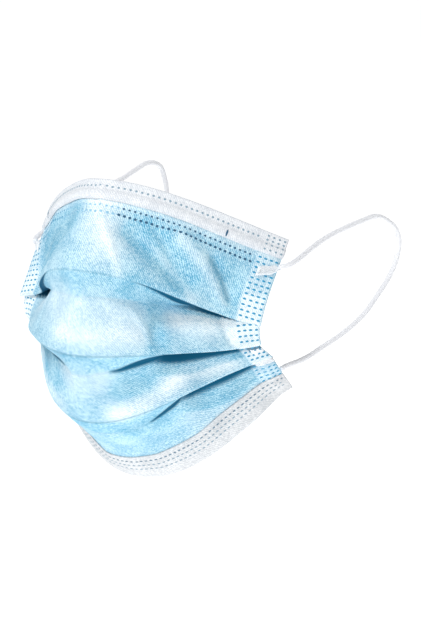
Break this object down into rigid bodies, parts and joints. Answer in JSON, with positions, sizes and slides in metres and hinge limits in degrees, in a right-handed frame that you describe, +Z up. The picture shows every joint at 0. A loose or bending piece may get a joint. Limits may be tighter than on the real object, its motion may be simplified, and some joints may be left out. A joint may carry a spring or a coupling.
{
  "type": "disposable face mask",
  "caption": "Pleated disposable face mask, opened as on a face, with white folded edges, a hidden nose wire and round elastic ear loops.",
  "frame": {"origin": "middle of the top edge, where the mask sits on the bridge of the nose", "axes": "+Z up, -Y out of the front of the mask, +X towards the wearer's left"},
  "size_m": [0.1457, 0.172, 0.1437],
  "materials": {
    "blue_cloth": "light blue nonwoven",
    "white_cloth": "white nonwoven",
    "wire": "plastic-coated wire",
    "cord": "knitted elastic"
  },
  "bodies": {
    "root": {"mask_panel": "blue_cloth", "top_band": "white_cloth", "chin_band": "white_cloth", "nose_wire": "wire", "loop_weld_upper_left": "cord", "loop_weld_upper_right": "cord", "loop_weld_lower_left": "cord", "loop_weld_lower_right": "cord", "ear_loop_left": "cord", "ear_loop_right": "cord"}
  },
  "joints": []
}
